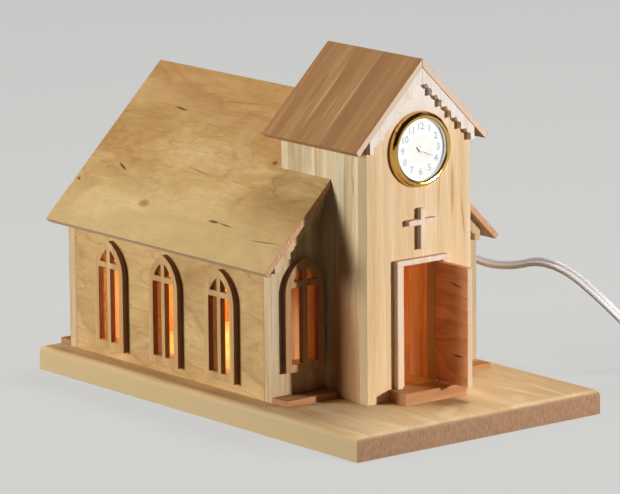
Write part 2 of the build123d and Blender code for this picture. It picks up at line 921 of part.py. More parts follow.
with BuildPart() as setting_knob:
    with BuildSketch(dial_plane(knob_front + knob_length)):
        add(gear(knob_tooth_count, knob_radius, tooth_depth / 2))
    extrude(amount=knob_length)
finish(setting_knob, "setting_knob")

# Night light: the section plane has depth out of the back wall first, then radius
lamp_origin = (0, nave_back_y, lamp_z)
lamp_section = Plane(origin=lamp_origin, x_dir=(0, 1, 0), z_dir=(1, 0, 0))
lamp_axis = Axis(lamp_origin, (0, 1, 0))

with BuildPart() as lamp_socket:
    with BuildSketch(lamp_section):
        add(
            turned(
                [
                    (-socket_inside, socket_bore),
                    (-socket_inside, socket_radius),
                    (seat_gap, socket_radius),
                    (seat_gap, lamp_hole_radius + flange_rim),
                    (seat_gap + flange_thick, lamp_hole_radius + flange_rim),
                    (seat_gap + flange_thick, socket_radius),
                    (socket_tail, socket_radius - socket_taper),
                    (socket_tail, 0),
                    (-socket_floor, 0),
                    (-socket_floor, socket_bore),
                ]
            )
        )
    revolve(axis=lamp_axis)
finish(lamp_socket, "lamp_socket")

clip_near = wall + fit
clip_bulge = lamp_hole_radius - bulb_play
clip_knee = clip_near + clip_bulge - socket_radius
clip_end = socket_inside - clip_setback
with BuildPart() as socket_clips:
    with BuildSketch(lamp_section):
        for side in sides.values():
            with BuildLine():
                Polyline(
                    (-clip_end, side * (socket_radius + fit)),
                    (-clip_end, side * (socket_radius + fit + clip_thick)),
                    (-clip_knee, side * clip_bulge),
                    (-clip_near, side * (socket_radius + fit + clip_thick)),
                    (-clip_near, side * (socket_radius + fit)),
                    (-clip_knee, side * (clip_bulge - clip_thick)),
                    (-clip_end + clip_thick, side * (socket_radius + fit)),
                    close=True,
                )
            make_face()
    extrude(amount=clip_width / 2, both=True)
finish(socket_clips, "socket_clips")

# Bulb: a screw cap under a flame-shaped glass shell
glass_foot = -socket_inside + fit
glass_profile_shares = ((0.0, 0.48), (0.12, 0.62), (0.32, 0.93), (0.47, 1.0), (0.65, 0.9), (0.85, 0.52))
with BuildPart() as bulb_envelope:
    with BuildSketch(lamp_section):
        for inset, mode in ((0, Mode.ADD), (bulb_wall, Mode.SUBTRACT)):
            tip = (glass_foot - bulb_length + inset, 0)
            points = [
                (glass_foot - along * (bulb_length - inset), across * bulb_radius - inset)
                for along, across in glass_profile_shares
            ]
            with BuildLine():
                Spline(*points, tip, tangents=((-1, 0), (0, -1)))
                Polyline(tip, (glass_foot, 0), points[0])
            make_face(mode=mode)
    revolve(axis=lamp_axis)
finish(bulb_envelope, "bulb_envelope")

cap_end = glass_foot + bulb_cap_length
with BuildPart() as bulb_cap:
    with BuildSketch(lamp_section):
        add(
            turned(
                [
                    (glass_foot, 0),
                    (glass_foot, bulb_cap_radius),
                    (cap_end, bulb_cap_radius),
                    (cap_end + bulb_contact, bulb_contact_radius),
                    (cap_end + bulb_contact, 0),
                ]
            )
        )
    revolve(axis=lamp_axis)
finish(bulb_cap, "bulb_cap")

cord_radius = cord_diameter / 2
relief_end = socket_tail + relief_length
with BuildPart() as strain_relief:
    with BuildSketch(lamp_section):
        add(
            turned(
                [
                    (socket_tail, 0),
                    (socket_tail, relief_radius),
                    (relief_end, cord_radius + relief_rim),
                    (relief_end, 0),
                ]
            )
        )
    revolve(axis=lamp_axis)
finish(strain_relief, "strain_relief")

# Lead's free stretch, from the strain relief round the church to the coil
cord_runs = [
    Vector(point) - Vector(before) for before, point in zip(cord_points, cord_points[1:])
]
cord_radii = [
    cord_arc_share * min(arrive.length, leave.length) / math.tan(math.radians(arrive.get_angle(leave)) / 2)
    for arrive, leave in zip(cord_runs, cord_runs[1:])
]
with BuildPart() as cord_free:
    with BuildLine() as cord_path:
        FilletPolyline(*cord_points, radius=cord_radii)
    with BuildSketch(Plane(origin=cord_points[0], z_dir=cord_runs[0])):
        Circle(cord_radius)
    sweep(path=cord_path.wire())
finish(cord_free, "cord_free")
free_length = cord_path.wire().length
tube_share = cord_free.part.volume / (math.pi * cord_radius**2 * free_length)
print("free cord length", round(free_length, 1), "volume against section times length", round(tube_share, 4))
print("free cord radii", [round(radius, 1) for radius in cord_radii])

# Coil: one spiral in two layers, wound inwards on top and outwards below
coil_step = cord_diameter + coil_gap
upper_z = cord_radius + coil_step
coil_turn_back = coil_quarter_count // 2


def coil_station(quarter):
    """The coil's place and direction after a number of quarter turns."""
    inward_turns = min(quarter, coil_quarter_count - quarter) / 4
    radius = coil_outer_radius - coil_step * inward_turns
    lowered_share = min(max(quarter - coil_turn_back + 1, 0), 2) / 2
    angle = math.pi / 2 * (1 - quarter)
    drift = coil_step / 4 if quarter > coil_turn_back else -coil_step / 4
    sink = 0
    if quarter in (0, coil_turn_back, coil_quarter_count):
        drift = 0
    if quarter == coil_turn_back:
        sink = -coil_step / 2
    sweep_rate = radius * math.pi / 2
    place = Vector(
        coil_x + radius * math.cos(angle),
        coil_y + radius * math.sin(angle),
        upper_z - coil_step * lowered_share,
    )
    way = Vector(
        drift * math.cos(angle) + sweep_rate * math.sin(angle),
        drift * math.sin(angle) - sweep_rate * math.cos(angle),
        sink,
    )
    return place, way.normalized()


def arcs_meet(start, start_way, end, end_way):
    """Where two arcs meet that leave start and reach end along the given ways."""
    span = end - start
    ways = start_way + end_way
    spread = 2 * (1 - start_way.dot(end_way))
    along = span.dot(ways)
    reach = (math.sqrt(along**2 + spread * span.dot(span)) - along) / spread
    return (start + end + (start_way - end_way) * reach) * 0.5


stations = [coil_station(quarter) for quarter in range(coil_quarter_count + 1)]
coil_start = stations[0][0] - stations[0][1] * cord_diameter
coil_end = stations[-1][0] + stations[-1][1] * coil_tail
with BuildPart() as cord_coil:
    with BuildLine() as coil_path:
        Line(coil_start, stations[0][0])
        for (start, start_way), (end, end_way) in zip(stations, stations[1:]):
            middle = arcs_meet(start, start_way, end, end_way)
            first_arc = TangentArc(start, middle, tangent=start_way)
            TangentArc(middle, end, tangent=first_arc % 1)
        Line(stations[-1][0], coil_end)
    with BuildSketch(Plane(origin=coil_start, z_dir=stations[0][1])):
        Circle(cord_radius)
    sweep(path=coil_path.wire())
finish(cord_coil, "cord_coil")

coil_length = coil_path.wire().length
coil_arcs = coil_path.edges().filter_by(GeomType.CIRCLE)
samples = [arc @ (place / sample_count) for arc in coil_arcs for place in range(sample_count)]
half_turn = 4 * sample_count
least = min(
    (samples[first] - samples[second]).length
    for first in range(len(samples))
    for second in range(first + half_turn, len(samples))
)
coil_share = cord_coil.part.volume / (math.pi * cord_radius**2 * coil_length)
print("coil length", round(coil_length, 1), "volume against section times length", round(coil_share, 4))
print("coil's least gap to itself", round(least - cord_diameter, 2))
print("whole lead", round(free_length + coil_length, 1))

# Plug, lying on its broad side where the coil ends
plug_x = coil_end.X
plug_y = coil_end.Y
body_x = plug_x - plug_sleeve - plug_length / 2
with BuildPart() as plug:
    with BuildSketch(Plane(origin=(plug_x, plug_y, cord_radius), z_dir=(-1, 0, 0))):
        Circle(cord_radius)
    with BuildSketch(Plane(origin=(plug_x - plug_sleeve, plug_y, plug_height / 2), z_dir=(-1, 0, 0))):
        Circle(plug_sleeve_radius)
    loft()
    with BuildSketch(Plane.XY):
        with Locations((body_x, plug_y)):
            RectangleRounded(plug_length, plug_width, plug_round)
    extrude(amount=plug_height)
finish(plug, "plug")

with BuildPart() as plug_blades:
    with BuildSketch(Plane.YZ.offset(body_x - plug_length / 2)):
        with Locations((plug_y, plug_height / 2)):
            with GridLocations(blade_spacing, blade_width, 2, 1):
                Rectangle(blade_thickness, blade_width)
    extrude(amount=-blade_length)
finish(plug_blades, "plug_blades")
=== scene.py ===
import json
import math
import bpy
from mathutils import Matrix, Vector


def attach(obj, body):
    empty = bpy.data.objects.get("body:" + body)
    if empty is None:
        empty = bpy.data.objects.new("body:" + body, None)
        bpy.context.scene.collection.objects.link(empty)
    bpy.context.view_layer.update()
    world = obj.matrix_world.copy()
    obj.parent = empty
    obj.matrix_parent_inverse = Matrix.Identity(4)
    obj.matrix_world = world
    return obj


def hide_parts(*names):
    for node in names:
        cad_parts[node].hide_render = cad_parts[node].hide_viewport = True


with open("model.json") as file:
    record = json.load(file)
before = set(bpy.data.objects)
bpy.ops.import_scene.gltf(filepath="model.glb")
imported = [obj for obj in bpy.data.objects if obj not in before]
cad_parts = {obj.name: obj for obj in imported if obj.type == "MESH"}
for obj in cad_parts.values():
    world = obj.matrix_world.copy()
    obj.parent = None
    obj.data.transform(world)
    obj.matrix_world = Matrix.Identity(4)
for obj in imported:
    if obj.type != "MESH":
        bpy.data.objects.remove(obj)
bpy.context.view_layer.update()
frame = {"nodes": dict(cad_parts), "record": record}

nodes = frame["nodes"]
bodies = frame["record"]["behaviour"]["bodies"]
bodyOf = {node: body for body, members in bodies.items() for node in members}
mm = 0.001
print("frame loaded,", len(nodes), "nodes")


# sRGB hex to linear colour
def toLinear(hexCode):
    shades = [int(hexCode[place:place + 2], 16) / 255 for place in (0, 2, 4)]
    return [shade / 12.92 if shade <= 0.04045 else ((shade + 0.055) / 1.055) ** 2.4 for shade in shades] + [1]


mixResult = 2  # a Mix node's colour result, its amount is input 0 and its colours are inputs 6 and 7
noiseReach = (0.3, 0.7)  # a noise texture's factor mostly stays between these


# One shader node with its settings, values and links
def addNode(tree, kind, values=None, links=None, **settings):
    node = tree.nodes.new(kind)
    for name, setting in settings.items():
        setattr(node, name, setting)
    for socket, value in (values or {}).items():
        node.inputs[socket].default_value = value
    for socket, source in (links or {}).items():
        tree.links.new(source, node.inputs[socket])
    return node


def mixColours(tree, values, links, **settings):
    return addNode(tree, "ShaderNodeMix", values, links, data_type="RGBA", **settings).outputs[mixResult]


def addMath(tree, operation, values=None, links=None):
    return addNode(tree, "ShaderNodeMath", values, links, operation=operation).outputs["Value"]


def addVectorMath(tree, operation, values=None, links=None):
    return addNode(tree, "ShaderNodeVectorMath", values, links, operation=operation).outputs


def stretch(tree, place, scale):
    return addNode(tree, "ShaderNodeMapping", {"Scale": scale}, {"Vector": place}).outputs["Vector"]


def addNoise(tree, place, sizeMm, values=None):
    settings = {"Scale": 1 / (sizeMm * mm), **(values or {})}
    return addNode(tree, "ShaderNodeTexNoise", settings, {"Vector": place})


# A noise texture's factor, spread from low to high
def fromNoise(tree, noise, low, high):
    return addNode(
        tree, "ShaderNodeMapRange",
        {"From Min": noiseReach[0], "From Max": noiseReach[1], "To Min": low, "To Max": high},
        {"Value": noise.outputs["Fac"]},
    ).outputs["Result"]


def newMaterial(name):
    material = bpy.data.materials.new(name)
    material.use_nodes = True
    material.node_tree.nodes.clear()
    return material


def paint(piece, material):
    piece.data.materials.clear()
    piece.data.materials.append(material)


def deselectAll():
    bpy.ops.object.select_all(action="DESELECT")


def pickOnly(piece):
    deselectAll()
    piece.select_set(True)
    bpy.context.view_layer.objects.active = piece


def placeInMesh(piece):
    pickOnly(piece)
    bpy.ops.object.transform_apply(location=True, rotation=True, scale=True)


# Camera, at the photograph's angle
cameraLook = {
    "place": (-1.44353, -1.83226, 0.55036),
    "azimuth": -38.2008,
    "elevation": 11.5718,
    "roll": -0.5113,
    "pixelsPerUnit": 4839.57,  # focal length in pixels of a picture 620 wide
    "pictureWidth": 620,
    "sensor": 36.0,
    "clipEnd": 100,
}


def setCamera(look):
    azimuth = math.radians(look["azimuth"])
    elevation = math.radians(look["elevation"])
    back = Vector((
        math.sin(azimuth) * math.cos(elevation),
        -math.cos(azimuth) * math.cos(elevation),
        math.sin(elevation),
    ))
    right = Vector((0, 0, 1)).cross(back).normalized()
    up = back.cross(right)
    roll = math.radians(look["roll"])
    turnedRight = right * math.cos(roll) + up * math.sin(roll)
    turnedUp = up * math.cos(roll) - right * math.sin(roll)
    data = bpy.data.cameras.new("camera")
    data.sensor_width = look["sensor"]
    data.lens = look["pixelsPerUnit"] * look["sensor"] / look["pictureWidth"]
    data.clip_end = look["clipEnd"]
    camera = bpy.data.objects.new("camera", data)
    bpy.context.scene.collection.objects.link(camera)
    turn = Matrix((turnedRight, turnedUp, back)).transposed().to_4x4()
    camera.matrix_world = Matrix.Translation(look["place"]) @ turn
    bpy.context.scene.camera = camera


setCamera(cameraLook)
print("camera set")

# Lead: a flat twin cord, from the strain relief round the right side to a coil
cord = {
    "width": 5.2,
    "thickness": 2.6,
    "web": 2.44,  # thickness between the two cores
    "notch": (0.3, 0.25),  # half width and depth, in the middle of the web
    "exit": (0, 148.5, 60),
    "route": [
        (0, 148.5, 60),
        (0, 170, 60),
        (14, 193, 59.5),
        (42, 203, 57.5),
        (72, 195, 55),
        (93, 170, 53),
        (102, 134, 53),
        (107.5, 98, 54.5),
        (111.5, 64, 56.5),
        (115.5, 34, 55),
        (117.6, 9.5, 47),
        (118.9, -14, 49.2),
        (120.6, -31, 54.9),
        (126.8, -46.2, 51),
        (136.5, -55.5, 39.3),
        (148, -60.8, 26.8),
        (160, -64, 13.8),
        (172.5, -65.5, 8.25),
        (184.8, -65.5, 8.25),
    ],
    "freeLength": 438.6,
    "coilLength": 1303.1,
    "coilCentre": (190, -106),
    "coilRadius": 40.5,
    "coilStep": 5.65,  # from turn to turn and from layer to layer
    "quarters": 26,
    "pointsPerQuarter": 4,
    "tail": 18,
    "twist": -76,  # degrees off upright, in the middle of the free stretch
    "coreSteps": 12,
    "smooth": 40,
}


# A point of the coil: wound inwards in the upper layer, down a layer, and outwards again
def coilPoint(look, quarter):
    half = look["quarters"] / 2
    radius = look["coilRadius"] - look["coilStep"] * min(quarter, look["quarters"] - quarter) / 4
    lower = look["width"] / 2
    upper = lower + look["coilStep"]
    climb = min(max((quarter - half + 1) / 2, 0), 1)
    angle = math.radians(90 - 90 * quarter)
    x = look["coilCentre"][0] + radius * math.cos(angle)
    y = look["coilCentre"][1] + radius * math.sin(angle)
    return (x, y, upper + (lower - upper) * climb)


def coilRoute(look):
    count = look["quarters"] * look["pointsPerQuarter"]
    turns = [coilPoint(look, place / look["pointsPerQuarter"]) for place in range(1, count + 1)]
    last = turns[-1]
    return turns + [(last[0] - look["tail"], last[1], last[2])]


# The cord's own line, read from a NURBS spline with no bevel
def smoothLine(points):
    data = bpy.data.curves.new("cord_line", "CURVE")
    data.dimensions = "3D"
    data.resolution_u = 6
    spline = data.splines.new("NURBS")
    spline.points.add(len(points) - 1)
    for point, place in zip(spline.points, points):
        point.co = [part * mm for part in place] + [1]
    spline.order_u = 3
    spline.use_endpoint_u = True
    line = bpy.data.objects.new("cord_line", data)
    bpy.context.scene.collection.objects.link(line)
    bpy.context.view_layer.update()
    mesh = bpy.data.meshes.new_from_object(line)
    places = [vertex.co.copy() for vertex in mesh.vertices]
    bpy.data.objects.remove(line)
    return places


# Outline of the flat cord: two round cores side by side, and the notch in the web between them
def cordOutline(look):
    core = look["thickness"] / 2
    steps = look["coreSteps"]
    middle = look["width"] / 2 - core
    reach = math.pi - math.asin(look["web"] / look["thickness"])
    outline = []
    for side in (1, -1):
        for step in range(steps + 1):
            turn = reach * (2 * step / steps - 1)
            outline.append((side * (middle + core * math.cos(turn)) * mm, side * core * math.sin(turn) * mm))
        wide, deep = look["notch"]
        for across, down in ((wide, 0), (0, deep), (-wide, 0)):
            outline.append((side * across * mm, side * (look["web"] / 2 - down) * mm))
    return outline


def makeCord(look):
    places = smoothLine(look["route"] + coilRoute(look))
    outline = cordOutline(look)
    travelled = [0]
    for before, after in zip(places, places[1:]):
        travelled.append(travelled[-1] + (after - before).length)
    free = look["freeLength"] * mm
    corners = []
    for number, place in enumerate(places):
        before = places[max(number - 1, 0)]
        after = places[min(number + 1, len(places) - 1)]
        along = (after - before).normalized()
        side = along.cross(Vector((0, 0, 1))).normalized()
        upright = side.cross(along)
        share = min(travelled[number] / free, 1)
        twist = math.radians(look["twist"]) * math.sin(math.pi * share)
        wideWay = upright * math.cos(twist) + side * math.sin(twist)
        thinWay = wideWay.cross(along)
        corners += [place + wideWay * wide + thinWay * high for wide, high in outline]
    count = len(outline)
    faces = []
    for ring in range(len(places) - 1):
        for corner in range(count):
            nextCorner = (corner + 1) % count
            start = ring * count
            faces.append((
                start + corner,
                start + nextCorner,
                start + count + nextCorner,
                start + count + corner,
            ))
    faces.append(tuple(reversed(range(count))))
    faces.append(tuple(range(len(corners) - count, len(corners))))
    mesh = bpy.data.meshes.new("flat_cord")
    mesh.from_pydata(corners, [], faces)
    piece = bpy.data.objects.new("flat_cord", mesh)
    bpy.context.scene.collection.objects.link(piece)
    pickOnly(piece)
    bpy.ops.object.mode_set(mode="EDIT")
    bpy.ops.mesh.select_all(action="SELECT")
    bpy.ops.mesh.normals_make_consistent(inside=False)
    bpy.ops.object.mode_set(mode="OBJECT")
    bpy.ops.object.shade_smooth_by_angle(angle=math.radians(look["smooth"]))
    return piece, places


flatCord, cordPlaces = makeCord(cord)
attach(flatCord, bodyOf["cord_free"])
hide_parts("cord_free", "cord_coil")
print("cord laid")

# Woods. A Mapping turn brings each board's grain onto X: its growth rings then run round a pith line
# beside the board, its fibres run along it, and the faces square to it show end grain.
turnToX = {
    "X": (0, 0, 0),
    "Y": (0, 0, math.radians(-90)),
    "Z": (0, math.radians(90), 0),
    "slopeLeft": (0, math.radians(45), 0),
    "slopeRight": (0, math.radians(135), 0),
}
grainWay = {
    "X": (1, 0, 0),
    "Y": (0, 1, 0),
    "Z": (0, 0, 1),
    "slopeLeft": (math.sqrt(0.5), 0, math.sqrt(0.5)),
    "slopeRight": (-math.sqrt(0.5), 0, math.sqrt(0.5)),
}

# Oiled boards of pale fruitwood: satin, cloudy, with knots and gum streaks.
# light, tone and deep are the clouds' colours, line is the growth rings', end the end grain's.
# A mark is a knot, a streak or a patch of painted light or shade: its place, its half length and half width,
# its turn in degrees, its colour and its strength.
# An edge is the way that such faces look, their colour and its strength. levels counts the level lines.
woods = {
    "naveRoof": {
        "grain": "Y", "light": "d8b682", "tone": "c8a26b", "deep": "b58b52", "line": "9c6f3b",
        "end": "d6a27c", "cloudStretch": 0.55, "swirl": 0.9, "stripeMm": 2.4, "stripeShare": 0.09,
        "stripeStretch": 0.3, "cloudMm": 26, "ringMm": 17, "waverMm": 22, "pith": (0, 60, 75),
        "lean": (0, 4, 5), "lineShare": 0.45, "fibreMm": 0.7, "fibreShare": 0.08, "poreShare": 0.3,
        "levels": 11, "levelShare": 0.34,
        "edges": [((-0.7071, 0, -0.7071), "bda283", 1), ((0.7071, 0, -0.7071), "bda283", 1)],
        "marks": [
            # painted light and shade: a paler band along the eave and a darker one along the ridge, for the
            # fall of the light
            ((-72.0, 30.0, 79.0), 190.0, 46.0, (0, 0, 90), "e0c894", 0.50),
            ((0.0, 40.0, 151.0), 140.0, 44.0, (0, 0, 90), "b4814c", 0.45),
            ((-17.9, 82.3, 133.1), 7.5, 0.9, (0, -4, 86), "5b3a1e", 0.85),
            ((-45.6, 94.8, 105.4), 6.5, 1.0, (0, -15, 74), "4c2c14", 0.85),
            ((-54.3, 120.6, 96.7), 2.2, 1.2, (0, -10, 80), "6d4522", 0.85),
            ((-31.0, -10.5, 120.0), 7.5, 5.5, (0, 0, 90), "b88a50", 0.85),
            ((-31.0, -10.5, 120.0), 2.4, 1.9, (0, 0, 90), "6d4522", 0.85),
            ((-57.8, 60.8, 93.2), 5.5, 3.0, (0, 0, 90), "a87c45", 0.85),
            ((-58.5, 3.0, 92.6), 5.5, 1.1, (0, 1, 90), "43230f", 0.85),
            ((-58.7, -6.5, 92.3), 7.5, 0.6, (0, -3, 88), "6a3f1e", 0.85),
            ((-61.6, -41.0, 89.5), 16.0, 0.5, (0, 3, 93), "7d5329", 0.85),
            ((-40.7, 38.0, 110.4), 16.0, 0.5, (0, -5, 85), "94683a", 0.85),
            ((-10.4, 39.0, 140.6), 24.0, 0.6, (0, 4, 94), "a87a49", 0.85),
        ],
    },
    "towerRoofLeft": {
        "grain": "slopeLeft", "light": "b88d5f", "tone": "a87b50", "deep": "986e47", "line": "7a5532",
        "end": "a5794d", "cloudStretch": 0.05, "swirl": 0.1, "stripeMm": 4.5, "stripeShare": 0.06,
        "stripeStretch": 0.02, "cloudMm": 9, "ringMm": 7.5, "waverMm": 2.2, "pith": (0, 55, 20),
        "lean": (0, 1, 0.5), "lineShare": 0.24, "fibreMm": 0.5, "fibreShare": 0.12, "poreShare": 0.3,
        "marks": [
            ((-22.0, -37.5, 155.1), 26.0, 1.6, (0, -45, 0), "cfa87b", 0.65),
            ((-22.0, -55.3, 155.4), 26.0, 1.2, (0, -45, 0), "cfa87b", 0.65),
            ((-26.0, -47.0, 151.0), 17.0, 0.9, (0, -45, 0), "c9a173", 0.60),
            ((-20.0, -30.0, 157.0), 14.0, 2.6, (0, -45, 0), "936a44", 0.60),
        ],
        "edges": [((0, -1, 0), "efd0b4", 1)],
    },
    "naveSide": {
        "grain": "Y", "light": "dbb882", "tone": "cba66e", "deep": "b9925b", "line": "9c7340",
        "end": "dcc8a2", "cloudStretch": 0.5, "swirl": 0.9, "stripeMm": 2.4, "stripeShare": 0.07,
        "stripeStretch": 0.3, "cloudMm": 24, "ringMm": 14, "waverMm": 18, "pith": (0, 22, -62),
        "lean": (0, 5, 7), "lineShare": 0.45, "fibreMm": 0.7, "fibreShare": 0.08, "poreShare": 0.3,
        "levels": 12, "levelShare": 0.40,
        "marks": [
            ((-64, -15.2, 44.0), 6.5, 6.0, (0, 0, 90), "a67d47", 0.85),
            ((-64, -15.2, 44.0), 1.7, 1.5, (0, 0, 90), "6a4422", 0.85),
            ((-64, 113.0, 70.0), 6.0, 1.2, (0, -15, 90), "a47a48", 0.85),
        ],
    },
    "naveGable": {
        "grain": "Z", "light": "dfcba8", "tone": "cfb48b", "deep": "bc9c71", "line": "a07a4c",
        "end": "c9a876", "cloudStretch": 0.05, "swirl": 0.1, "stripeMm": 4, "stripeShare": 0.14,
        "stripeStretch": 0.02, "cloudMm": 12, "ringMm": 9, "waverMm": 2.5, "pith": (0, 70, 30),
        "lean": (0, 1.5, 1), "lineShare": 0.42, "fibreMm": 0.5, "fibreShare": 0.16, "poreShare": 0.3,
        "marks": [],
    },
    "towerFront": {
        "grain": "Z", "light": "f8e4c4", "tone": "f0d0a3", "deep": "e7be8b", "line": "cf9e68",
        "end": "f0d0a3", "cloudStretch": 0.06, "swirl": 0.1, "stripeMm": 3.2, "stripeShare": 0.045,
        "stripeStretch": 0.02, "cloudMm": 10, "ringMm": 8, "waverMm": 2.5, "pith": (0, 80, 35),
        "lean": (0, 1, 1.5), "lineShare": 0.28, "fibreMm": 0.5, "fibreShare": 0.10, "poreShare": 0.3,
        "marks": [
            # painted light: the top of the tower front painted paler, where the light is brightest
            ((0.0, -82.3, 172.0), 44.0, 44.0, (0, -90, 0), "fdf4ee", 0.85),
            ((20.8, -82.3, 112.0), 19.0, 1.3, (0, -90, 0), "cf9453", 0.85),
            ((27.4, -82.3, 97.0), 13.0, 0.9, (0, -96, 0), "cf9453", 0.85),
            ((12.5, -82.3, 112.0), 14.0, 0.7, (0, -87, 0), "d3a066", 0.85),
            ((-11.4, -82.3, 152.9), 2.6, 0.5, (0, -90, 0), "b07a4a", 0.85),
        ],
        "edges": [((-1, 0, 0), "bfaa80", 0.9), ((1, 0, 0), "bfaa80", 0.9)],
    },
    "towerSide": {
        "grain": "Z", "light": "f0e3ca", "tone": "e1cea8", "deep": "ccb080", "line": "a48654",
        "end": "e1cea8", "cloudStretch": 0.04, "swirl": 0.05, "stripeMm": 4.2, "stripeShare": 0.13,
        "stripeStretch": 0.02, "cloudMm": 8, "ringMm": 8.5, "waverMm": 2.2, "pith": (0, 26, 70),
        "lean": (0, 0.8, 1), "lineShare": 0.48, "fibreMm": 0.5, "fibreShare": 0.15, "poreShare": 0.3,
        "marks": [
            # painted shade, partly brown wood: the tower's side darkened low down, where the nave shades it
            ((-32.3, -66.0, 22.0), 88.0, 18.5, (0, -90, 0), "a5764a", 0.95),
            ((-32.3, -66.0, 106.0), 34.0, 1.6, (0, -90, 0), "b08c58", 0.55),
            ((-32.3, -44.0, 124.0), 16.0, 1.2, (0, -90, 0), "b08c58", 0.55),
        ],
    },
    "baseBoard": {
        "grain": "Y", "light": "f3d7ad", "tone": "e7c493", "deep": "d6ad7a", "line": "b08a58",
        "end": "b38661", "cloudStretch": 0.2, "swirl": 0.4, "stripeMm": 5, "stripeShare": 0.04,
        "stripeStretch": 0.02, "cloudMm": 20, "ringMm": 12, "waverMm": 6, "pith": (0, 30, -70),
        "lean": (0, 2, 3), "lineShare": 0.22, "fibreMm": 0.6, "fibreShare": 0.10, "poreShare": 0.3,
        "marks": [
            # painted light: pale pools of light on the base top, before the step and to the right of the door
            ((-10.0, -115.5, 12.3), 19.0, 5.5, (0, 0, 38), "f4d9aa", 0.75),
            ((44.0, -108.0, 12.3), 26.0, 2.6, (0, 0, 96), "f8d9a6", 0.60),
            ((56.0, -112.0, 12.3), 22.0, 2.2, (0, 0, 84), "f8d9a6", 0.60),
            ((34.0, -116.0, 12.3), 9.0, 5.0, (0, 0, 60), "f4d8aa", 0.60),
        ],
        "edges": [((-1, 0, 0), "cfb88c", 0.85), ((1, 0, 0), "cfb88c", 0.85)],
    },
    "stripBoard": {
        "grain": "X", "light": "d6a26e", "tone": "c48c58", "deep": "b07744", "line": "9b6c40",
        "end": "b27d58", "cloudStretch": 0.1, "swirl": 0.2, "stripeMm": 2.4, "stripeShare": 0.06,
        "stripeStretch": 0.02, "cloudMm": 9, "ringMm": 5, "waverMm": 2, "pith": (0, 25, -40),
        "lean": (0, 2, 3), "lineShare": 0.30, "fibreMm": 0.5, "fibreShare": 0.16, "poreShare": 0.3,
        "marks": [],
    },
    "paleTrim": {
        "grain": "Z", "light": "fae8d7", "tone": "f4dac1", "deep": "e9c6a6", "line": "cf9f78",
        "end": "eccaac", "cloudStretch": 0.1, "swirl": 0.1, "stripeMm": 2.2, "stripeShare": 0.03,
        "stripeStretch": 0.02, "cloudMm": 6, "ringMm": 6, "waverMm": 1.5, "pith": (0, 30, 30),
        "lean": (0, 2, 2), "lineShare": 0.20, "fibreMm": 0.5, "fibreShare": 0.10, "poreShare": 0.3,
        "marks": [],
    },
    # painted light: the door's faces are deep orange for the warm light from the lit rooms; its end grain
    # keeps a pale tone
    "doorBoard": {
        "grain": "Y", "light": "f2ad76", "tone": "e69b66", "deep": "d28857", "line": "94552e",
        "end": "ecccac", "cloudStretch": 0.3, "swirl": 0.5, "stripeMm": 2.5, "stripeShare": 0.06,
        "stripeStretch": 0.02, "cloudMm": 8, "ringMm": 5, "waverMm": 3.5, "pith": (0, 40, -45),
        "lean": (0, 6, 9), "lineShare": 0.38, "fibreMm": 0.5, "fibreShare": 0.18, "poreShare": 0.06,
        "marks": [
            ((9.3, -98.2, 68.2), 7.0, 0.7, (0, -8, 90), "5a2a12", 0.85),
            ((9.3, -100.0, 33.6), 5.0, 0.8, (0, 3, 90), "1f0e06", 0.85),
        ],
    },
}
woods["towerRoofRight"] = dict(woods["towerRoofLeft"], grain="slopeRight")
woods["whiteTrim"] = dict(woods["paleTrim"], light="fff8f4", tone="fbf0e7", deep="f4e3d5", line="d9b392")

# The window overlays share one board. Their sides and arches are dark, partly scorched by a fine blade and
# partly painted shade
windowBoard = {
    "grain": "Z", "light": "d6b381", "tone": "c69f6a", "deep": "b78d58", "line": "9f7341", "end": "c69f6a",
    "cloudStretch": 0.08, "swirl": 0.1, "stripeMm": 2.4, "stripeShare": 0.05, "stripeStretch": 0.02,
    "cloudMm": 8, "ringMm": 5, "waverMm": 1.5, "pith": (0, 30, 30), "lean": (0, 2, 2), "lineShare": 0.28,
    "fibreMm": 0.5, "fibreShare": 0.16, "poreShare": 0.3, "marks": [],
}
scorchAndShade = {"colour": "8f5f45", "share": 0.9, "ways": ((1, 0), (-1, 0), (0.8, 0.6), (-0.8, 0.6))}
woods["sideWindowBoard"] = dict(
    windowBoard, edges=[((0, across, up), scorchAndShade["colour"], scorchAndShade["share"]) for across, up in scorchAndShade["ways"]],
)
# painted shade: the front windows take a darker copy of the window board, for the shade they stand in
woods["frontWindowBoard"] = dict(
    windowBoard, light="c69f70", tone="b78c5b", deep="a87c4c",
    edges=[((across, 0, up), scorchAndShade["colour"], scorchAndShade["share"]) for across, up in scorchAndShade["ways"]],
)

# Lowest and highest corners of the nave's room, the tower's room and the doorway, and the tint of the painted
# warm light there
insides = [
    ((-58.05, -43.05, 12.4), (58.05, 111.05, 84.0)),
    ((-26.35, -76.35, 12.4), (26.35, -23.1, 140.0)),
    ((-9.45, -87.0, 18.4), (9.45, -76.0, 78.2)),
]
insideGlowTint = "ffead0"

# What all the woods have in common
figure = {
    "cloudStops": {"deep": 0.30, "light": 0.68, "tone": 0.50},
    "waverStretch": 0.9,  # of the clouds'
    "waverSize": 1.7,  # of the clouds'
    "wavePeriod": 0.314,  # of the wave texture, in its own unit
    "ringShades": ((0.55, 0.12), (0.88, 0.45), (0.955, 1.0)),  # how far along a ring, and how dark there
    "ringEnd": 0.25,  # darkness where a ring ends
    "levelMm": 34,
    "levelStretch": 0.26,
    "levelFade": 0.16,  # of the way to the next level
    "fibreStretch": 0.025,
    "markRim": 1.0,  # of a mark's size, where it begins
    "markCore": 0.3,  # of a mark's size, where it has its full strength
    "endFrom": (0.75, 0.95),  # cosine to the fibres, where end grain begins and where it is full
    "edgeFrom": (0.80, 0.95),  # cosine to an edge's way, where its colour begins and where it is full
    "poreMm": 0.9,
    "poreStretch": 0.3,
    "poreGlint": 0.7,  # how much lighter the wood between pores is, as a share of poreShare
    "rough": (0.52, 0.66),
    "relief": 0.5,
    "reliefMm": 0.06,
    "ior": 1.5,
    "specular": 0.35,
}


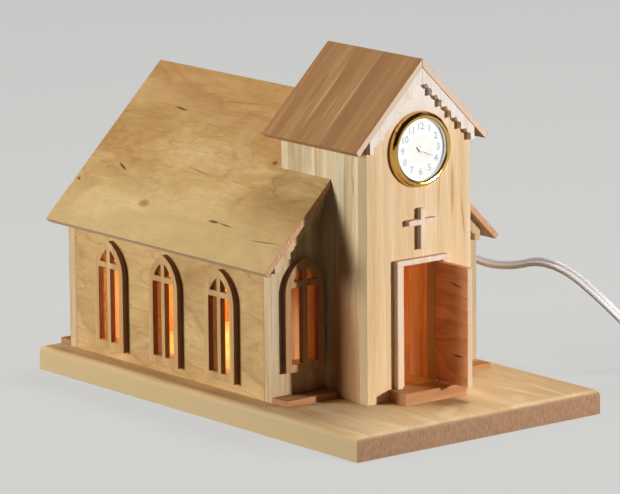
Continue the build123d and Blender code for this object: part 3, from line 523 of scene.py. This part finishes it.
def makeWood(name, look):
    material = newMaterial(name)
    tree = material.node_tree
    source = addNode(tree, "ShaderNodeTexCoord").outputs
    grain = addNode(
        tree, "ShaderNodeMapping", {"Rotation": turnToX[look["grain"]]}, {"Vector": source["Object"]}
    ).outputs["Vector"]
    # clouds, longer along the grain
    cloudPlace = stretch(tree, grain, (look["cloudStretch"], 1, 1))
    clouds = addNoise(
        tree, cloudPlace, look["cloudMm"], {"Detail": 6, "Roughness": 0.62, "Distortion": look["swirl"]}
    )
    cloudTone = addNode(tree, "ShaderNodeValToRGB", links={"Fac": clouds.outputs["Fac"]})
    shades = cloudTone.color_ramp.elements
    stops = figure["cloudStops"]
    shades[0].position, shades[0].color = stops["deep"], toLinear(look["deep"])
    shades[1].position, shades[1].color = stops["light"], toLinear(look["light"])
    shades.new(stops["tone"]).color = toLinear(look["tone"])
    # growth rings round the pith, pushed about by a slow noise
    waverPlace = stretch(tree, grain, (look["cloudStretch"] * figure["waverStretch"], 1, 1))
    waver = addNoise(tree, waverPlace, look["cloudMm"] * figure["waverSize"], {"Detail": 2})
    push = addVectorMath(tree, "SCALE", {"Scale": look["waverMm"] * mm}, {0: waver.outputs["Color"]})
    leant = addNode(
        tree, "ShaderNodeMapping",
        {
            "Location": [part * mm for part in look["pith"]],
            "Rotation": [math.radians(part) for part in look["lean"]],
        },
        {"Vector": grain},
    )
    ringPlace = addVectorMath(tree, "ADD", links={0: leant.outputs["Vector"], 1: push["Vector"]})
    rings = addNode(
        tree, "ShaderNodeTexWave",
        {
            "Scale": figure["wavePeriod"] / (look["ringMm"] * mm),
            "Distortion": 0.6,
            "Detail": 2,
            "Detail Scale": 2,
        },
        {"Vector": ringPlace["Vector"]},
        wave_type="RINGS", rings_direction="X", wave_profile="SAW",
    )
    ringShade = addNode(tree, "ShaderNodeValToRGB", links={"Fac": rings.outputs["Fac"]})
    shades = ringShade.color_ramp.elements
    shades[0].color = (0, 0, 0, 1)
    shades[1].color = (figure["ringEnd"], figure["ringEnd"], figure["ringEnd"], 1)
    for position, shade in figure["ringShades"]:
        shades.new(position).color = (shade, shade, shade, 1)
    ringAmount = addMath(tree, "MULTIPLY", {1: look["lineShare"]}, {0: ringShade.outputs["Color"]})
    colour = mixColours(tree, {7: toLinear(look["line"])}, {0: ringAmount, 6: cloudTone.outputs["Color"]})
    # a flat-sawn board shows its rings as level lines, each with one sharp side
    if "levels" in look:
        slow = stretch(tree, grain, (figure["levelStretch"], 1, 1))
        hills = addNoise(tree, slow, figure["levelMm"], {"Detail": 4, "Roughness": 0.45})
        level = addMath(tree, "MULTIPLY", {1: look["levels"]}, {0: hills.outputs["Fac"]})
        past = addMath(tree, "FRACT", links={0: level})
        thin = addNode(
            tree, "ShaderNodeMapRange",
            {"From Min": 0, "From Max": figure["levelFade"], "To Min": look["levelShare"], "To Max": 0},
            {"Value": past},
        )
        colour = mixColours(tree, {7: toLinear(look["line"])}, {0: thin.outputs["Result"], 6: colour})
    # straight stripes, where the board was cut across several rings
    stripePlace = stretch(tree, grain, (look["stripeStretch"], 1, 1))
    stripes = addNoise(tree, stripePlace, look["stripeMm"], {"Detail": 3, "Roughness": 0.6})
    stripeShade = fromNoise(tree, stripes, 1 - look["stripeShare"], 1 + look["stripeShare"])
    # fibres, many times as long as wide
    fibrePlace = stretch(tree, grain, (figure["fibreStretch"], 1, 1))
    fibres = addNoise(tree, fibrePlace, look["fibreMm"], {"Detail": 3, "Roughness": 0.65})
    fibreShade = fromNoise(tree, fibres, 1 - look["fibreShare"], 1 + look["fibreShare"])
    shade = addMath(tree, "MULTIPLY", links={0: stripeShade, 1: fibreShade})
    colour = addVectorMath(tree, "SCALE", links={0: colour, "Scale": shade})["Vector"]
    # knots, gum streaks and patches of painted light and shade, each an ellipse with a ragged edge
    for place, length, width, turn, tint, share in look["marks"]:
        inMark = addNode(
            tree, "ShaderNodeMapping",
            {
                "Location": [part * mm for part in place],
                "Rotation": [math.radians(part) for part in turn],
                "Scale": (length * mm, width * mm, width * mm),
            },
            {"Vector": source["Object"]}, vector_type="TEXTURE",
        )
        reach = addVectorMath(tree, "LENGTH", links={0: inMark.outputs["Vector"]})["Value"]
        ragged = addMath(tree, "MULTIPLY", links={0: reach, 1: fibreShade})
        amount = addNode(
            tree, "ShaderNodeMapRange",
            {"From Min": figure["markRim"], "From Max": figure["markCore"], "To Min": 0, "To Max": share},
            {"Value": ragged}, interpolation_type="SMOOTHSTEP",
        )
        colour = mixColours(tree, {7: toLinear(tint)}, {0: amount.outputs["Result"], 6: colour})
    # end grain on the faces square to the fibres
    facing = addVectorMath(tree, "DOT_PRODUCT", {1: grainWay[look["grain"]]}, {0: source["Normal"]})["Value"]
    square = addMath(tree, "ABSOLUTE", links={0: facing})
    begins, full = figure["endFrom"]
    ending = addNode(tree, "ShaderNodeMapRange", {"From Min": begins, "From Max": full}, {"Value": square})
    porePlace = stretch(tree, grain, (1, 1, figure["poreStretch"]))
    pores = addNoise(tree, porePlace, figure["poreMm"], {"Detail": 3, "Roughness": 0.7})
    poreShade = fromNoise(tree, pores, 1 - look["poreShare"], 1 + figure["poreGlint"] * look["poreShare"])
    endTone = addVectorMath(tree, "SCALE", {0: toLinear(look["end"])[:3]}, {"Scale": poreShade})["Vector"]
    colour = mixColours(tree, {}, {0: ending.outputs["Result"], 6: colour, 7: endTone})
    # edges of another colour
    begins, full = figure["edgeFrom"]
    for way, tint, share in look.get("edges", []):
        turned = addVectorMath(tree, "DOT_PRODUCT", {1: way}, {0: source["Normal"]})["Value"]
        edge = addNode(
            tree, "ShaderNodeMapRange", {"From Min": begins, "From Max": full, "To Max": share},
            {"Value": turned},
        )
        colour = mixColours(tree, {7: toLinear(tint)}, {0: edge.outputs["Result"], 6: colour})
    # painted light: every face inside the rooms takes a warm tint for the bulb's glow
    for lowest, highest in insides:
        inRoom = addNode(
            tree, "ShaderNodeMapping",
            {
                "Location": [(low + high) / 2 * mm for low, high in zip(lowest, highest)],
                "Scale": [(high - low) / 2 * mm for low, high in zip(lowest, highest)],
            },
            {"Vector": source["Object"]}, vector_type="TEXTURE",
        )
        away = addVectorMath(tree, "ABSOLUTE", links={0: inRoom.outputs["Vector"]})["Vector"]
        apart = addNode(tree, "ShaderNodeSeparateXYZ", links={"Vector": away}).outputs
        flat = addMath(tree, "MAXIMUM", links={0: apart["X"], 1: apart["Y"]})
        most = addMath(tree, "MAXIMUM", links={0: flat, 1: apart["Z"]})
        inside = addMath(tree, "LESS_THAN", {1: 1.0}, {0: most})
        warmed = mixColours(tree, {0: 1.0, 7: toLinear(insideGlowTint)}, {6: colour}, blend_type="MULTIPLY")
        colour = mixColours(tree, {}, {0: inside, 6: colour, 7: warmed})
    # satin oil finish over raised fibres
    relief = addNode(
        tree, "ShaderNodeBump", {"Strength": figure["relief"], "Distance": figure["reliefMm"] * mm},
        {"Height": fibres.outputs["Fac"]},
    )
    shader = addNode(
        tree, "ShaderNodeBsdfPrincipled", {"IOR": figure["ior"], "Specular IOR Level": figure["specular"]},
        {
            "Base Color": colour,
            "Roughness": fromNoise(tree, fibres, *figure["rough"]),
            "Normal": relief.outputs["Normal"],
        },
    )
    addNode(tree, "ShaderNodeOutputMaterial", links={"Surface": shader.outputs["BSDF"]})
    return material


woodMaterials = {name: makeWood(name, look) for name, look in woods.items()}
woodOf = {
    "base_board": "baseBoard",
    "foundation_front": "stripBoard",
    "foundation_back": "stripBoard",
    "door_step": "stripBoard",
    "door": "doorBoard",
    "door_lintel": "paleTrim",
    "door_jambs": "paleTrim",
    "cross": "paleTrim",
    "nave_back_wall": "naveGable",
    "tower_front_wall": "towerFront",
    "tower_back_wall": "towerSide",
    "tower_roof_left": "towerRoofLeft",
    "tower_roof_right": "towerRoofRight",
}
for side in ("left", "right"):
    woodOf[f"nave_side_wall_{side}"] = "naveSide"
    woodOf[f"nave_front_wall_{side}"] = "naveGable"
    woodOf[f"nave_roof_{side}"] = "naveRoof"
    woodOf[f"nave_trim_{side}"] = "naveGable"
    woodOf[f"tower_trim_{side}"] = "whiteTrim"
    woodOf[f"tower_side_wall_{side}"] = "towerSide"
    woodOf[f"front_window_{side}"] = "frontWindowBoard"
    for number in (1, 2, 3):
        woodOf[f"side_window_{side}_{number}"] = "sideWindowBoard"
print("woods made")


# Each board again with its corners eased, as sandpaper leaves them (lengths in mm, angles in degrees)
easing = {"width": 0.25, "segments": 2, "corner": 30, "glueLine": 0.2, "weldMm": 0.001, "flat": 0.5}


def easeBoard(node, look):
    piece = bpy.data.objects.new(node + "_board", nodes[node].data.copy())
    bpy.context.scene.collection.objects.link(piece)
    # boards that meet at a ridge are glued there, and let no light through
    for vertex in piece.data.vertices:
        if abs(vertex.co.x) < look["glueLine"] * mm:
            vertex.co.x = 0
    pickOnly(piece)
    bpy.ops.object.mode_set(mode="EDIT")
    bpy.ops.mesh.select_all(action="SELECT")
    bpy.ops.mesh.remove_doubles(threshold=look["weldMm"] * mm)
    bpy.ops.mesh.dissolve_limited(angle_limit=math.radians(look["flat"]))
    bpy.ops.object.mode_set(mode="OBJECT")
    bevel = piece.modifiers.new("eased", "BEVEL")
    bevel.width = look["width"] * mm
    bevel.segments = look["segments"]
    bevel.limit_method = "ANGLE"
    bevel.angle_limit = math.radians(look["corner"])
    bevel.harden_normals = True
    bpy.ops.object.shade_smooth_by_angle(angle=math.radians(look["corner"]))
    bpy.ops.object.modifier_apply(modifier=bevel.name)
    paint(piece, woodMaterials[woodOf[node]])
    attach(piece, bodyOf[node])
    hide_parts(node)


for node in woodOf:
    easeBoard(node, easing)
print("boards eased")

# Finishes of the bought parts: what the real one is, and what that gives the eye.
# Each is its colour, 1 for a metal, its roughness, and its unevenness: its size in mm and how far it darkens.
finishes = {
    "polishedBrass": ("dcb060", 1, 0.12, 3, 0.05),  # mirror bright
    "plainBrass": ("c9a45e", 1, 0.34, 1.5, 0.10),  # stamped sheet
    "brightSteel": ("c6c8cb", 1, 0.28, 2, 0.08),  # nickel plated
    "greyHand": ("8f8e8b", 1, 0.46, 1, 0.06),  # brushed silver grey
    "silverRing": ("f7f4e9", 1, 0.20, 3, 0.04),  # silvered sheet
    "whiteAbs": ("e9e7df", 0, 0.38, 4, 0.05),  # moulded, satin
    "blackAbs": ("242426", 0, 0.42, 4, 0.10),  # moulded, fine matt
    "whiteVinyl": ("f0eef0", 0, 0.34, 9, 0.03),  # extruded, waxy
    "greenBoard": ("3c6a48", 0, 0.35, 2, 0.12),  # solder resist
    "printedGrey": ("aeb1bb", 0, 0.5, 2, 0.05),  # matt ink of the dial
}
roughStray = 0.2  # of the roughness, either way


def makeFinish(name, look):
    colour, metal, rough, sizeMm, change = look
    material = newMaterial(name)
    tree = material.node_tree
    source = addNode(tree, "ShaderNodeTexCoord").outputs
    cast = addNoise(tree, source["Object"], sizeMm, {"Detail": 2})
    shade = fromNoise(tree, cast, 1 - change, 1)
    tone = addVectorMath(tree, "SCALE", {0: toLinear(colour)[:3]}, {"Scale": shade})["Vector"]
    wear = fromNoise(tree, cast, rough * (1 - roughStray), rough * (1 + roughStray))
    shader = addNode(
        tree, "ShaderNodeBsdfPrincipled", {"Metallic": metal}, {"Base Color": tone, "Roughness": wear}
    )
    addNode(tree, "ShaderNodeOutputMaterial", links={"Surface": shader.outputs["BSDF"]})
    return material


finishMaterials = {name: makeFinish(name, look) for name, look in finishes.items()}
finishOf = {
    "clock_bezel": "polishedBrass",
    "clock_chapter_ring": "silverRing",
    "clock_case": "blackAbs",
    "clock_grip_ring": "blackAbs",
    "clock_back_cover": "blackAbs",
    "movement_plate": "plainBrass",
    "movement_bridge": "plainBrass",
    "hour_wheel": "plainBrass",
    "idler_wheel": "plainBrass",
    "quartz_circuit": "greenBoard",
    "button_cell": "brightSteel",
    "minute_hand": "greyHand",
    "hour_hand": "greyHand",
    "minute_arbor": "brightSteel",
    "setting_knob": "whiteAbs",
    "door_pivot_pins": "brightSteel",
    "lamp_socket": "whiteAbs",
    "socket_clips": "brightSteel",
    "bulb_cap": "plainBrass",
    "strain_relief": "whiteVinyl",
    "plug": "whiteVinyl",
    "plug_blades": "brightSteel",
}
for node, finish in finishOf.items():
    paint(nodes[node], finishMaterials[finish])
paint(flatCord, finishMaterials["whiteVinyl"])

# Mineral glass of the clock: clear and hard, and light passes it to the dial
lens = {"rough": 0.02, "ior": 1.5, "smearMm": 6}


def makeClearGlass(name, look):
    material = newMaterial(name)
    tree = material.node_tree
    source = addNode(tree, "ShaderNodeTexCoord").outputs
    smear = addNoise(tree, source["Object"], look["smearMm"]).outputs["Fac"]
    rough = addNode(tree, "ShaderNodeMapRange", {"To Min": 0, "To Max": look["rough"] * 2}, {"Value": smear})
    gloss = addNode(
        tree, "ShaderNodeBsdfPrincipled",
        {"Base Color": (1, 1, 1, 1), "Transmission Weight": 1, "IOR": look["ior"]},
        {"Roughness": rough.outputs["Result"]},
    )
    clear = addNode(tree, "ShaderNodeBsdfTransparent")
    ray = addNode(tree, "ShaderNodeLightPath").outputs
    passed = addMath(tree, "MAXIMUM", links={0: ray["Is Shadow Ray"], 1: ray["Is Diffuse Ray"]})
    blend = addNode(
        tree, "ShaderNodeMixShader", links={0: passed, 1: gloss.outputs["BSDF"], 2: clear.outputs["BSDF"]}
    )
    addNode(tree, "ShaderNodeOutputMaterial", links={"Surface": blend.outputs["Shader"]})
    return material


paint(nodes["clock_lens"], makeClearGlass("mineralGlass", lens))

# Bulb of a night light: frosted glass, lit
bulb = {"colour": "ffc384", "strength": 32.0, "frost": "fff3e4", "frostMm": 1.2, "rough": (0.45, 0.6)}


def makeBulbGlass(look):
    material = newMaterial("frostedBulbGlass")
    tree = material.node_tree
    source = addNode(tree, "ShaderNodeTexCoord").outputs
    frost = addNoise(tree, source["Object"], look["frostMm"]).outputs["Fac"]
    low, high = look["rough"]
    rough = addNode(tree, "ShaderNodeMapRange", {"To Min": low, "To Max": high}, {"Value": frost})
    shader = addNode(
        tree, "ShaderNodeBsdfPrincipled",
        {
            "Base Color": toLinear(look["frost"]),
            "Emission Color": toLinear(look["colour"]),
            "Emission Strength": look["strength"],
        },
        {"Roughness": rough.outputs["Result"]},
    )
    addNode(tree, "ShaderNodeOutputMaterial", links={"Surface": shader.outputs["BSDF"]})
    return material


paint(nodes["bulb_envelope"], makeBulbGlass(bulb))

# Dial: white enamel, creamy inside the numerals
dial = {
    "centre": (0, -82.3, 133.2),
    "front": 0.95,  # of the dial's face, before the tower's front
    "white": "f8f9fc",
    "cream": "f7f6f0",
    "creamRadius": 7.5,
    "creamBlur": 0.6,
    "rippleMm": 4,
    "rough": (0.2, 0.4),
    "numeralRadius": 11.0,
    "numeralSize": 3.4 * 1.35,  # height, and the type size for one mm of height
    "numeralBold": 0.09,
    "printThick": 0.03,
    "tickRadius": 13.6,
    "tickLength": 0.7,
    "tickWidth": 0.14,
    "fifthTick": 1.6,  # times as long and wide as the others
}


def makeEnamel(look):
    material = newMaterial("whiteEnamel")
    tree = material.node_tree
    source = addNode(tree, "ShaderNodeTexCoord").outputs
    middle = [part * mm for part in look["centre"]]
    fromCentre = addVectorMath(tree, "DISTANCE", {1: middle}, {0: source["Object"]})["Value"]
    inside = addNode(
        tree, "ShaderNodeMapRange",
        {
            "From Min": (look["creamRadius"] + look["creamBlur"]) * mm,
            "From Max": (look["creamRadius"] - look["creamBlur"]) * mm,
        },
        {"Value": fromCentre},
    )
    tone = mixColours(
        tree, {6: toLinear(look["white"]), 7: toLinear(look["cream"])}, {0: inside.outputs["Result"]}
    )
    ripple = addNoise(tree, source["Object"], look["rippleMm"]).outputs["Fac"]
    low, high = look["rough"]
    rough = addNode(tree, "ShaderNodeMapRange", {"To Min": low, "To Max": high}, {"Value": ripple})
    shader = addNode(
        tree, "ShaderNodeBsdfPrincipled", links={"Base Color": tone, "Roughness": rough.outputs["Result"]}
    )
    addNode(tree, "ShaderNodeOutputMaterial", links={"Surface": shader.outputs["BSDF"]})
    return material


paint(nodes["clock_dial"], makeEnamel(dial))


# A place on the dial's face, clockwise from twelve
def onDial(look, degrees, radius):
    angle = math.radians(degrees)
    x, y, z = look["centre"]
    return Vector((x + radius * math.sin(angle), y - look["front"], z + radius * math.cos(angle))) * mm


def joinPieces(pieces, name):
    deselectAll()
    for piece in pieces:
        piece.select_set(True)
    bpy.context.view_layer.objects.active = pieces[0]
    bpy.ops.object.join()
    pieces[0].name = name
    return pieces[0]


def makeNumerals(look):
    pieces = []
    for hour in range(1, 13):
        bpy.ops.object.text_add()
        numeral = bpy.context.object
        numeral.data.body = str(hour)
        numeral.data.align_x = "CENTER"
        numeral.data.align_y = "CENTER"
        numeral.data.size = look["numeralSize"] * mm
        numeral.data.extrude = look["printThick"] * mm
        numeral.data.offset = look["numeralBold"] * mm
        numeral.data.resolution_u = 4
        pickOnly(numeral)
        bpy.ops.object.convert(target="MESH")
        numeral = bpy.context.object
        numeral.rotation_euler = (math.radians(90), 0, 0)
        numeral.location = onDial(look, hour * 360 / 12, look["numeralRadius"])
        placeInMesh(numeral)
        pieces.append(numeral)
    return joinPieces(pieces, "dial_numerals")


def makeTicks(look):
    pieces = []
    for minute in range(60):
        longer = look["fifthTick"] if minute % 5 == 0 else 1
        bpy.ops.mesh.primitive_cube_add(size=1)
        tick = bpy.context.object
        tick.scale = (
            look["tickWidth"] * longer * mm,
            2 * look["printThick"] * mm,
            look["tickLength"] * longer * mm,
        )
        turn = minute * 360 / 60
        tick.rotation_euler = (0, math.radians(turn), 0)
        tick.location = onDial(look, turn, look["tickRadius"])
        placeInMesh(tick)
        pieces.append(tick)
    return joinPieces(pieces, "dial_minute_track")


for printed in (makeNumerals(dial), makeTicks(dial)):
    paint(printed, finishMaterials["printedGrey"])
    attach(printed, bodyOf["clock_dial"])
print("clock dressed")

# Floor: plain, matt and pale to the eye and in mirrors, and mid grey to the lamps
floorLook = {
    "radius": 30, "vertices": 96, "colour": "595856", "rough": 0.85, "specular": 0.1,
    "glow": "e6e6e4", "lift": 0.70,
}


def makeFloor(look):
    bpy.ops.mesh.primitive_circle_add(vertices=look["vertices"], radius=look["radius"], fill_type="NGON")
    floor = bpy.context.object
    floor.name = "floor"
    material = newMaterial("floorPaint")
    tree = material.node_tree
    ray = addNode(tree, "ShaderNodeLightPath").outputs
    mirrored = addMath(tree, "MAXIMUM", links={0: ray["Is Camera Ray"], 1: ray["Is Glossy Ray"]})
    seen = addMath(tree, "MAXIMUM", links={0: mirrored, 1: ray["Is Transmission Ray"]})
    lift = addMath(tree, "MULTIPLY", {1: look["lift"]}, {0: seen})
    shader = addNode(
        tree, "ShaderNodeBsdfPrincipled",
        {
            "Base Color": toLinear(look["colour"]),
            "Roughness": look["rough"],
            "Specular IOR Level": look["specular"],
            "Emission Color": toLinear(look["glow"]),
        },
        {"Emission Strength": lift},
    )
    addNode(tree, "ShaderNodeOutputMaterial", links={"Surface": shader.outputs["BSDF"]})
    paint(floor, material)


makeFloor(floorLook)

# Lamps: a small one low on the front right, a faint wide one higher beside it, a wide low one on the left
# behind, and a wide one above
lamps = {
    "frontRight": {
        "from": (0.76, -1.34, 0.25), "size": 0.08, "watts": 3.52, "spread": 80, "colour": "fffdfa",
    },
    "highRight": {"from": (1.0, -0.95, 0.85), "size": 0.45, "watts": 0.1, "spread": 180, "colour": "fffcf8"},
    "left": {"from": (-1.28, 0.68, 0.32), "size": 0.60, "watts": 3.9, "spread": 80, "colour": "fffbf0"},
    "above": {"from": (0.42, 0.08, 1.45), "size": 0.5, "watts": 12.8, "spread": 180, "colour": "ffffff"},
}
aim = Vector((0, -0.02, 0.08))
for name, look in lamps.items():
    data = bpy.data.lights.new(name, "AREA")
    data.shape = "DISK"
    data.size = look["size"]
    data.energy = look["watts"]
    data.spread = math.radians(look["spread"])
    data.color = toLinear(look["colour"])[:3]
    lamp = bpy.data.objects.new(name, data)
    bpy.context.scene.collection.objects.link(lamp)
    lamp.location = look["from"]
    lamp.rotation_euler = (aim - lamp.location).to_track_quat("-Z", "Y").to_euler()

room = {"colour": "e8e6e2", "strength": 0.018}
world = bpy.data.worlds.new("room")
bpy.context.scene.world = world
world.use_nodes = True
background = world.node_tree.nodes["Background"]
background.inputs["Color"].default_value = toLinear(room["colour"])
background.inputs["Strength"].default_value = room["strength"]
bpy.context.scene.view_settings.view_transform = "Standard"
print("floor and lamps set")
